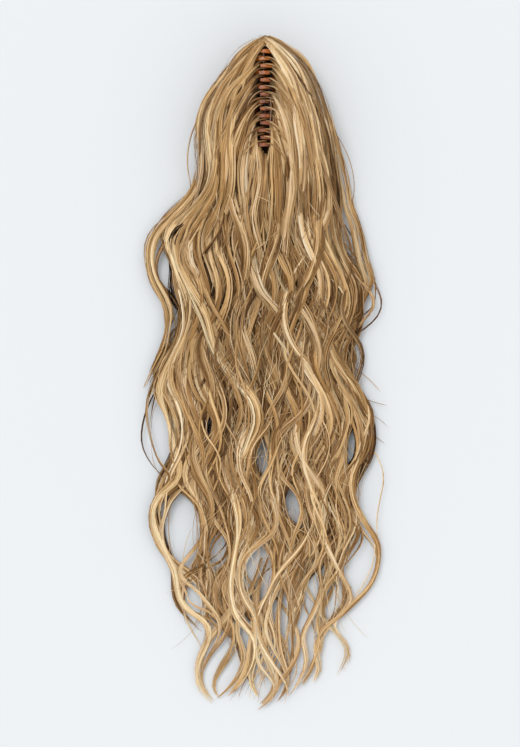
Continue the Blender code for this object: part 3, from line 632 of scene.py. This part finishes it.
def hair_material():
    """Strands of blonde hair: each has its tone between ash brown and pale yellow, with fine stripes, and
    painted shade from its shade attribute.
    """
    look, tree, shader = new_look("hair_strands", {"Roughness": 0.46, "Specular IOR Level": 0.16})
    tone = node(tree, "Attribute", attribute_name="tone")
    shade = node(tree, "Attribute", attribute_name="shade")
    warm = node(tree, "Attribute", attribute_name="warm")
    ramp = colour_ramp(
        tree,
        (0.00, (0.070, 0.032, 0.011)),
        (0.25, (0.235, 0.122, 0.044)),
        (0.50, (0.520, 0.305, 0.128)),
        (0.72, (0.830, 0.590, 0.330)),
        (1.00, (1.000, 0.870, 0.640)),
    )
    tint = node(tree, "Mix", {6: (0.97, 0.96, 1.00, 1), 7: (1.05, 0.99, 0.80, 1)}, data_type="RGBA")
    # Painted shade: shaded parts are painted darker and warmer, as if lit through the hair
    deep = node(tree, "Mix", {6: (1.0, 0.78, 0.52, 1), 7: (1.0, 1.0, 1.0, 1)}, data_type="RGBA")
    tinted = node(tree, "Mix", {0: 1.0}, data_type="RGBA", blend_type="MULTIPLY")
    coloured = node(tree, "Mix", {0: 1.0}, data_type="RGBA", blend_type="MULTIPLY")
    lit = node(tree, "Mix", {0: 1.0}, data_type="RGBA", blend_type="MULTIPLY")
    uv = node(tree, "UVMap", uv_map="strand")
    stretch = node(tree, "Mapping", {"Scale": (5.0, 26.0, 1.0)})
    grain = node(tree, "TexNoise", {"Scale": 1.6, "Detail": 3.0}, noise_dimensions="2D")
    fine = span(tree, 0.25, 0.75, 0.74, 1.22)
    mixed = node(tree, "Math", operation="MULTIPLY")
    bump = node(tree, "Bump", {"Strength": 0.35, "Distance": 0.0002})
    wire(
        tree,
        (tone, "Fac", ramp, "Fac"), (uv, "UV", stretch, "Vector"), (stretch, "Vector", grain, "Vector"),
        (grain, "Fac", fine, "Value"), (fine, "Result", mixed, 0), (shade, "Fac", mixed, 1),
        (warm, "Fac", tint, 0), (ramp, "Color", tinted, 6), (tint, 2, tinted, 7),
        (tinted, 2, coloured, 6), (mixed, "Value", coloured, 7), (shade, "Fac", deep, 0),
        (coloured, 2, lit, 6), (deep, 2, lit, 7), (lit, 2, shader, "Base Color"),
        (grain, "Fac", bump, "Height"), (bump, "Normal", shader, "Normal"),
    )
    return look


def core_material():
    """The hair deep inside, painted dark as shade, in stripes that run down the part, and with painted shade
    darker round the claw.
    """
    look, tree, shader = new_look("hair_inside", {"Roughness": 0.72, "Specular IOR Level": 0.2})
    place = node(tree, "TexCoord")
    stretch = node(tree, "Mapping", {"Scale": (900.0, 26.0, 500.0)})
    grain = node(tree, "TexNoise", {"Scale": 1.0, "Detail": 4.0, "Distortion": 0.6})
    ramp = colour_ramp(tree, (0.30, (0.085, 0.045, 0.020)), (0.72, (0.300, 0.180, 0.080)))
    bump = node(tree, "Bump", {"Strength": 0.6, "Distance": 0.0006})
    split = node(tree, "SeparateXYZ")
    across = node(tree, "Math", operation="ABSOLUTE")
    # Painted shade: darker near the middle beside the claw, and less so towards the apex
    beside = span(tree, 0.010, 0.026, 0.72, 0.0)
    above = span(tree, 0.165, 0.190)
    apex = span(tree, 0.270, 0.282, 1.0, 0.15)
    hollow_shade = node(tree, "Math", operation="MULTIPLY")
    under = node(tree, "Math", operation="MULTIPLY")
    claw_shade = node(tree, "Mix", {7: (0.018, 0.008, 0.004, 1)}, data_type="RGBA")
    wire(
        tree,
        (place, "Object", split, "Vector"), (split, "X", across, 0), (across, "Value", beside, "Value"),
        (split, "Y", above, "Value"), (beside, "Result", hollow_shade, 0), (above, "Result", hollow_shade, 1),
        (split, "Y", apex, "Value"), (hollow_shade, "Value", under, 0), (apex, "Result", under, 1),
        (under, "Value", claw_shade, 0), (place, "Object", stretch, "Vector"),
        (stretch, "Vector", grain, "Vector"), (grain, "Fac", ramp, "Fac"),
        (grain, "Fac", bump, "Height"), (ramp, "Color", claw_shade, 6), (claw_shade, 2, shader, "Base Color"),
        (bump, "Normal", shader, "Normal"),
    )
    return look


def amber_material():
    """Clear amber plastic with darker clouds, painted warmer and lighter towards the top of the claw, where
    light shines through it.
    """
    inputs = {"Roughness": 0.16, "IOR": 1.49, "Coat Weight": 0.15, "Coat Roughness": 0.08}
    look, tree, shader = new_look("amber_clear", inputs)
    place = node(tree, "TexCoord")
    cloud = node(tree, "TexNoise", {"Scale": 120.0, "Detail": 3.0})
    ramp = colour_ramp(tree, (0.30, (0.090, 0.018, 0.004)), (0.72, (0.430, 0.115, 0.018)))
    split = node(tree, "SeparateXYZ")
    # Painted light: the amber glows warmer towards the top, where light shines through it
    top = span(tree, 0.245, 0.275, 0.0, 0.75, interpolation_type="SMOOTHSTEP")
    warm = node(tree, "Mix", {7: (0.620, 0.170, 0.012, 1)}, data_type="RGBA")
    wire(
        tree,
        (place, "Object", cloud, "Vector"), (place, "Object", split, "Vector"),
        (split, "Y", top, "Value"), (cloud, "Fac", ramp, "Fac"), (top, "Result", warm, 0),
        (ramp, "Color", warm, 6), (warm, 2, shader, "Base Color"),
    )
    return look


def steel_material():
    """Drawn steel wire, with a fine grain round it."""
    look, tree, shader = new_look("steel_wire", {"Metallic": 1.0})
    place = node(tree, "TexCoord")
    grain = node(tree, "TexNoise", {"Scale": 900.0})
    rough = span(tree, 0.0, 1.0, 0.22, 0.40)
    ramp = colour_ramp(tree, (0.0, (0.16, 0.14, 0.13)), (1.0, (0.30, 0.28, 0.26)))
    wire(
        tree,
        (place, "Object", grain, "Vector"), (grain, "Fac", rough, "Value"), (grain, "Fac", ramp, "Fac"),
        (rough, "Result", shader, "Roughness"), (ramp, "Color", shader, "Base Color"),
    )
    return look


def thread_material():
    """Tan sewing thread with the turns of its ply."""
    look, tree, shader = new_look("sewing_thread", {"Roughness": 0.6})
    place = node(tree, "TexCoord")
    ply = node(tree, "TexWave", {"Scale": 900.0}, bands_direction="DIAGONAL")
    ramp = colour_ramp(tree, (0.0, (0.260, 0.120, 0.055)), (1.0, (0.560, 0.330, 0.190)))
    wire(
        tree,
        (place, "Object", ply, "Vector"), (ply, "Fac", ramp, "Fac"),
        (ramp, "Color", shader, "Base Color"),
    )
    return look


def put_in_scene(name, mesh, look):
    """Gives a mesh its material and places it as an object."""
    mesh.materials.append(look)
    obj = bpy.data.objects.new(name, mesh)
    bpy.context.scene.collection.objects.link(obj)
    return obj


def new_object(name, vertices, faces, look, rounded=False):
    """An object from corners and faces."""
    mesh = bpy.data.meshes.new(name)
    mesh.from_pydata(vertices, [], faces)
    if rounded:
        mesh.polygons.foreach_set("use_smooth", np.ones(len(faces), bool))
    mesh.update()
    return put_in_scene(name, mesh, look)


def ring_faces(rings, sides):
    """The faces between each ring of corners and the next."""
    faces = []
    for i in range(rings - 1):
        for k in range(sides):
            a = i * sides + k
            b = i * sides + (k + 1) % sides
            faces.append((a, b, b + sides, a + sides))
    return faces


def build_crown_core(side_name, look):
    """The hair inside one side of the crown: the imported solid, drawn in a little under the strands."""
    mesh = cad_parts["crown_" + side_name].data.copy()
    mesh.name = "crown_inside_" + side_name
    mesh.materials.clear()
    normals = np.zeros(len(mesh.vertices) * 3, np.float32)
    mesh.vertices.foreach_get("normal", normals)
    co = np.zeros(len(mesh.vertices) * 3, np.float32)
    mesh.vertices.foreach_get("co", co)
    co = (co - 0.0010 * normals).reshape(-1, 3)
    sunk = np.minimum(co[:, 2], roof_z(co[:, 0], co[:, 1]) - 0.0040)
    deepest = 0.0018 + 0.012 * smooth((co[:, 1] - 0.266) / 0.014)
    co[:, 2] = np.maximum(sunk, co[:, 2] - deepest)
    co[:, 1] = np.minimum(co[:, 1], CORE_FRONT_Y)
    inside = 0.82 * np.where(co[:, 0] < 0, -edge_x(co[:, 1], -1), edge_x(co[:, 1], 1))
    co[:, 0] = np.clip(co[:, 0], -inside, inside)
    mesh.vertices.foreach_set("co", co.astype(np.float32).ravel())
    mesh.update()
    return put_in_scene(mesh.name, mesh, look)


def build_lining(side_name, look):
    """Short hair that lines one jaw below its wall, and laps past the middle to the other side's."""
    rings = []
    side = -1 if side_name == "left" else 1
    lap = LINING_LAP if side > 0 else -LINING_LAP - 0.0003
    for y, inner, low in (
        (0.1905, -lap, 0.0184), (0.2175, -lap, 0.0184), (0.2190, 0.0044, 0.0202), (0.2490, 0.0044, 0.0202),
        (0.2505, -lap, 0.0184), (0.2785, -lap, 0.0184), (0.2800, -lap, 0.0300), (0.2892, -lap, 0.0300),
    ):
        outer = 0.0098 if y < 0.279 else 0.0040
        for x, z in ((outer, low + 0.0020), (inner, low), (inner, low - 0.0009), (outer, low + 0.0010)):
            rings.append((side * x, y, z))
    faces = [(0, 1, 2, 3), (31, 30, 29, 28)]
    faces += [(a, d, c, b) for a, b, c, d in ring_faces(8, 4)]
    if side < 0:
        faces = [face[::-1] for face in faces]
    return new_object("claw_lining_" + side_name, rings, faces, look)


def build_tail_core(look):
    """A closed flat body inside the tail, under the strands."""
    rows = np.linspace(152, 430, 44)
    sides = 24
    rings = []
    for row in rows:
        y = y_of(row)
        thin = 1 - 0.93 * smooth((row - 285) / 145)
        left = edge_x(y, -1) * (0.80 * thin)
        right = edge_x(y, 1) * (0.80 * thin)
        for k in range(sides):
            angle = TURN * k / sides
            x = (left + right) / 2 + (right - left) / 2 * math.cos(angle)
            top = (0.40 + 0.38 * thin) * roof_z(x, y)
            z = 0.0015 + max(top - 0.0015, 0.001) * (0.5 + 0.5 * math.sin(angle))
            rings.append((x, y, z))
    faces = ring_faces(len(rows), sides)
    faces.append(tuple(range(sides)))
    faces.append(tuple(reversed(range((len(rows) - 1) * sides, len(rows) * sides))))
    return new_object("tail_inside", rings, faces, look, rounded=True)


def build_under_claw(look):
    """A flat band of hair on the table under the claw, where its jaws meet."""
    bm = bmesh.new()
    bmesh.ops.create_cube(bm, size=1)
    bmesh.ops.scale(bm, vec=(0.0068, 0.076, 0.0024), verts=bm.verts)
    bmesh.ops.translate(bm, vec=(0, 0.226, 0.0021), verts=bm.verts)
    bmesh.ops.bevel(bm, geom=bm.edges[:], offset=0.0008, segments=3, affect="EDGES")
    mesh = bpy.data.meshes.new("hair_under_claw")
    bm.to_mesh(mesh)
    bm.free()
    return put_in_scene("hair_under_claw", mesh, look)


def build_stitching(look):
    """The thread that sews the hair to the right jaw: one long stitch, and short ones across it."""
    column = 270.4
    rows = np.linspace(103, 150, 9)
    lines = [[(x_of(column + 0.5 * math.sin(i)), y_of(row)) for i, row in enumerate(rows)]]
    for row in (101, 112, 124, 135, 146):
        lines.append([(x_of(c), y_of(row + 0.22 * (c - 266))) for c in (266, 268, 270, 273, 276)])
    made = [tube("stitch", [(x, y, roof_z(x, y) - 0.0012) for x, y in line], 0.00034, look) for line in lines]
    bpy.ops.object.select_all(action="DESELECT")
    for obj in made:
        obj.select_set(True)
    bpy.context.view_layer.objects.active = made[0]
    bpy.ops.object.join()
    made[0].name = "stitching"
    return made[0]


def build_crossing_hair(strands):
    """A short fine hair that lies across the others on top, bent in one arc."""
    row = 190 + 410 * rng.uniform(0, 1) ** 0.9
    y = y_of(row)
    x = rng.uniform(-0.78, 0.78) * edge_x(y, 1)
    turn = rng.normal(0, 0.45)
    bend = rng.uniform(-0.9, 0.9)
    length = rng.uniform(0.018, 0.060)
    along = np.linspace(0, 1, 9)
    heading = turn + bend * along
    step = length / 8
    flat = np.column_stack((x + np.cumsum(np.sin(heading)) * step, y - np.cumsum(np.cos(heading)) * step))
    if np.any(np.abs(flat[:, 0]) > CROSSING_REACH):
        return
    line = raised(flat, 1.05, 0.0, 0.0)
    line[:, 2] += 0.0006
    fill_lock(strands, line, 0.001, 0.0008, rng.uniform(0.35, 0.90), 1, ribbon=0.00032, tip=0.5,
              root=1.0, rooted=1.0, parted=False)


def build_rim(side, strands):
    """Locks that hang below the crown's edge, from the apex round its side to the tail."""
    for k in range(RIM_LOCKS):
        level = (k + 0.5) / RIM_LOCKS
        start_y = RIM_Y - 0.0012 * level
        line = waving_line(side, start_y, 0.98, base_phase(side, 0.98), 0.010, rng.uniform(0.40, 0.60),
                           1.0, start_x=0.0004, turning=0.014)
        y = line[:, 1]
        lower = min(level / 0.7, 1)
        upper = max(level - 0.7, 0) / 0.3
        line[:, 0] *= 0.87 + 0.11 * lower - 0.20 * upper * smooth((start_y - y) / 0.006)
        at_front = 0.010 + 0.037 * level
        low = 0.0040 + 0.0090 * smooth((y - 0.16) / 0.05)
        high = 0.0080 + 0.0160 * smooth((y - 0.14) / 0.08)
        at_side = low + (high - low) * lower + 0.012 * upper * smooth((y - 0.18) / 0.05)
        line[:, 2] = at_front + (at_side - at_front) * smooth((RIM_Y - y) / 0.030)
        outward = -side * lock_frame(line)[1]
        # Painted light: the rim locks are painted lighter, as the crown's outer edge is lit
        fill_lock(strands, line, 0.004, 0.006, rng.uniform(0.44, 0.70), 16, ribbon=0.0012,
                  shade=1.35 + 0.20 * level, root=0.8, rooted=0.9, outward=outward)


def build_claw_hair(side, strands):
    """Hairs that come up between the teeth and bend out over them to one side."""
    for k in range(TOOTH_GAPS):
        row = 56.5 + TOOTH_PITCH_ROWS * (k + (0.25 if side < 0 else 0.6))
        y = y_of(row) + rng.uniform(-0.0006, 0.0006)
        inner = rng.uniform(-0.0030, 0.0020)
        fall = rng.uniform(0.3, 0.8)
        places = [
            (side * inner, y, 0.0505),
            (side * (inner + 0.0022), y - 0.0002, 0.0531),
            (side * 0.0062, y - 0.0014 * fall - 0.0006, 0.0546),
            (side * 0.0105, y - 0.0065 * fall - 0.001, 0.0547),
            (side * 0.0150, y - 0.0150 * fall - 0.002, 0.0535),
            (side * 0.0190, y - 0.0260 * fall - 0.004, 0.0515),
        ]
        line = even_steps(curve_through(places, 6), 0.0022)
        fill_lock(strands, line, 0.0030, 0.0012, rng.uniform(0.30, 0.62), 6, ribbon=0.00048, tip=0.8,
                  root=0.5, warm=rng.uniform(0.3, 0.8), rooted=0.75)


def tube(name, points, radius, look, sides=6):
    """A thin closed tube through points."""
    line = curve_through(points, 8)
    across, up = lock_frame(line)[1:]
    rings = []
    for k in range(sides):
        angle = TURN * k / sides
        rings.append(line + radius * (math.cos(angle) * across + math.sin(angle) * up))
    vertices = np.stack(rings, 1).reshape(-1, 3)
    faces = ring_faces(len(line), sides)
    faces.append(tuple(reversed(range(sides))))
    faces.append(tuple(range((len(line) - 1) * sides, len(line) * sides)))
    return new_object(name, [tuple(v) for v in vertices], faces, look, rounded=True)


# Camera
camera_data = bpy.data.cameras.new("camera")
camera_data.sensor_fit = "VERTICAL"
camera_data.sensor_height = 24.0
camera_data.lens = 66.2
camera_data.clip_end = 100.0
camera = bpy.data.objects.new("camera", camera_data)
camera.location = (-0.0043, 0.0008, 1.80)
bpy.context.scene.collection.objects.link(camera)
bpy.context.scene.camera = camera

# Floor and light
FLOOR_REACH = 30.0
floor_look = new_look(
    "pale_floor", {"Base Color": (0.805, 0.835, 0.860, 1), "Roughness": 0.9, "Specular IOR Level": 0.1}
)[0]
corners = [(x * FLOOR_REACH, y * FLOOR_REACH, 0) for x, y in ((-1, -1), (1, -1), (1, 1), (-1, 1))]
floor = new_object("floor", corners, [(0, 1, 2, 3)], floor_look)

world = bpy.data.worlds.new("studio")
world.use_nodes = True
set_inputs(world.node_tree.nodes["Background"], {"Color": (1.0, 1.0, 1.0, 1), "Strength": 0.80})
bpy.context.scene.world = world
bpy.context.scene.view_settings.view_transform = "Standard"

# A broad even light from the upper left
sun_data = bpy.data.lights.new("key", "SUN")
sun_data.energy = 0.98
sun_data.angle = math.radians(30)
sun = bpy.data.objects.new("key", sun_data)
sun.location = (-0.34, 0.46, 1.0)
sun.rotation_euler = (-Vector(sun.location)).to_track_quat("-Z", "Y").to_euler()
bpy.context.scene.collection.objects.link(sun)

# Materials
hair_look = hair_material()
# The hair deep inside is painted dark as shade
inside_shade_look = core_material()
steel_look = steel_material()
for name, look in (("jaw_left", amber_material()), ("jaw_right", amber_material()),
                   ("hinge_pin", steel_look), ("hinge_spring", steel_look)):
    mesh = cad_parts[name].data
    mesh.materials.clear()
    mesh.materials.append(look)

# Hair over the claw and down from it
groups = {(side, part): Strands() for side in (-1, 1) for part in ("side", "low")}

for side, part, width, depth, tone, count, points in LOCKS:
    line = traced_line(points, depth)
    tone = 0.61 + 1.1 * (tone - 0.58)
    warm = 0.72 if side < 0 and part == "side" else 0.55
    fill_lock(groups[side, part], line, width * PIXEL, 0.005, tone, int(count * STRANDS_MORE),
              ribbon=0.00075, warm=warm, root=0.22, tip=0.55, ends=(0.96, 0.97))

for side in (-1, 1):
    rows = ROOT_ROWS[0 if side < 0 else 1]
    for i in range(FILL_LOCKS):
        share = (i + 0.5) / FILL_LOCKS
        root_y = y_of(rows[int(share * len(rows))] + rng.uniform(-1.0, 1.0))
        aim = np.clip(0.96 - 0.93 * share + rng.uniform(-0.12, 0.06), 0.03, 0.95)
        phase = base_phase(side, aim) + rng.uniform(-0.07, 0.07)
        tip = rng.uniform(0.80, 0.95) if aim > 0.55 else rng.uniform(0.89, 1.0)
        depth = rng.uniform(0.50, 1.0)
        line = waving_line(side, root_y, aim, phase, rng.uniform(0.008, 0.014), tip, depth)
        part = "side" if root_y > 0.225 else "low"
        ashen = side < 0 and 0.25 < aim < 0.8
        lightest = 0.60 if ashen or aim < 0.25 else 0.82
        tone = np.clip(rng.normal(0.44 if ashen else 0.59, 0.18), 0.10, lightest)
        warm = rng.uniform(0.0, 0.4) if ashen else rng.uniform(0.3, 0.8)
        # Painted shade: deeper locks are darker, and their roots darker beside the claw
        fill_lock(groups[side, part], line, rng.uniform(0.009, 0.018), 0.0045, tone, 31, ribbon=0.00078,
                  shade=0.72 + 0.28 * depth, warm=warm, root=0.16, rooted=0.42)
    for k in range(APEX_LOCKS):
        share = k / (APEX_LOCKS - 1)
        aim = 0.99 - 0.50 * share
        line = waving_line(side, y_of(38.5 + 13 * share ** 1.5), aim, base_phase(side, aim), 0.010,
                           rng.uniform(0.72, 0.90), 1.0, start_x=0.0006 + 0.0024 * share,
                           turning=0.014 + 0.034 * share, root_dip=0.0010)
        fill_lock(groups[side, "side"], line, 0.010, 0.003, rng.uniform(0.52, 0.68), 14, ribbon=0.0011,
                  warm=0.55, root=0.45, rooted=0.85)
    for k in range(END_LOCKS):
        share = k / (END_LOCKS - 1)
        line = waving_line(side, y_of(148 + 8 * share), 0.30 - 0.26 * share, 0.3, 0.009,
                           rng.uniform(0.78, 0.95), 0.95, start_x=0.0045 - 0.0037 * share, turning=0.10,
                           root_dip=0.0030)
        fill_lock(groups[side, "low"], line, 0.010, 0.004, rng.uniform(0.40, 0.62), 22, ribbon=0.0008,
                  root=0.2)

for side in (-1, 1):
    build_rim(side, groups[side, "side"])

for (side, part), strands in groups.items():
    side_name = "left" if side < 0 else "right"
    obj = strands.build("hair_" + side_name + "_" + part, hair_look)
    if part == "side":
        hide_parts("crown_" + side_name)
        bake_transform(obj)
    else:
        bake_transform(obj)

# The crown's inner hair and the jaws' linings take the inside look, painted dark as shade
for build in (build_crown_core, build_lining):
    for side_name in ("left", "right"):
        obj = build(side_name, inside_shade_look)
        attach(obj, side_name)

for side, side_name in ((-1, "left"), (1, "right")):
    strands = Strands()
    build_claw_hair(side, strands)
    obj = strands.build("claw_hair_" + side_name, hair_look)
    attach(obj, side_name)

# Hair that surfaces in the tail
inner = [Strands(), Strands()]
for i in range(INNER_LOCKS):
    side = -1 if i % 2 else 1
    aim = rng.uniform(0.0, 0.93)
    depth = rng.uniform(0.05, 0.80)
    phase = base_phase(side, aim) + rng.uniform(-0.12, 0.12)
    tip = rng.uniform(0.76, 0.92) if aim > 0.55 else rng.uniform(0.80, 0.96)
    line = waving_line(side, 0.178 - 0.03 * rng.uniform(0, 1), aim, phase, rng.uniform(0.009, 0.015), tip,
                       depth, start_x=0.9 * aim * TAIL_START_HALF)
    tone = np.clip(rng.normal(0.44, 0.19), 0.08, 0.90)
    # Painted shade: deeper locks are darker
    fill_lock(inner[2 * i // INNER_LOCKS], line, rng.uniform(0.010, 0.020), 0.006, tone, 30,
              ribbon=0.0010, shade=0.54 + 0.40 * depth, warm=rng.uniform(0.2, 0.7))

# Thin locks, single hairs and strays on top
outer = Strands()
for width, depth, tone, count, points in TIPS:
    line = traced_line(points, depth, rooted=False)
    fill_lock(outer, line, width * PIXEL * CURLS_WIDER, 0.004, tone, int(count * STRANDS_MORE),
              ribbon=0.00075, tip=0.55, ends=(0.95, 0.96), parted=False)
for width, depth, tone, count, points in WISPS:
    line = traced_line(points, depth, rooted=False)
    fill_lock(outer, line, width * PIXEL, 0.002, tone, count, ribbon=0.00055, tip=0.2, warm=0.55,
              root=0.12, parted=False)
for i in range(LOOSE_CURLS):
    side = -1 if i % 2 else 1
    aim = rng.uniform(0.0, 0.95)
    tip = rng.uniform(0.55, 0.97)
    phase = base_phase(side, aim) + rng.uniform(0.25, 0.75) * (i % 3 == 0)
    line = waving_line(side, rng.uniform(0.02, 0.175), aim, phase, rng.uniform(0.007, 0.014), tip,
                       rng.uniform(0.98, 1.06), start_x=0.9 * aim * TAIL_START_HALF, root_dip=0.0100)
    if len(line) > 12:
        fill_lock(outer, line, rng.uniform(0.003, 0.008), 0.003, rng.uniform(0.30, 0.80), 13,
                  ribbon=0.0006, tip=0.35, warm=rng.uniform(0.3, 0.8), root=0.12, parted=i % 4 > 0)
for i in range(SINGLE_HAIRS):
    side = -1 if i % 2 else 1
    aim = rng.uniform(0.0, 1.05)
    phase = base_phase(side, min(aim, 1)) + rng.uniform(-0.5, 0.5)
    line = waving_line(side, rng.uniform(0.02, 0.17), aim, phase, rng.uniform(0.004, 0.014),
                       rng.uniform(0.5, 0.98), 1.05, start_x=aim * TAIL_START_HALF)
    if len(line) > 8:
        fill_lock(outer, line, 0.002, 0.001, rng.uniform(0.3, 0.9), 2, ribbon=0.0003, tip=0.4,
                  parted=False)
for i in range(CROSSING_HAIRS):
    build_crossing_hair(outer)

for name, strands in (("tail_strands_1", inner[0]), ("tail_strands_2", inner[1]), ("tail_wisps", outer)):
    obj = strands.build(name, hair_look)
    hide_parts("tail")
    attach(obj, "hair")

# The band under the claw and the tail's inner body take the inside look, painted dark as shade
for build, look, link in (
    (build_under_claw, inside_shade_look, "hair"),
    (build_stitching, thread_material(), "right"),
    (build_tail_core, inside_shade_look, "hair"),
):
    obj = build(look)
    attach(obj, link)
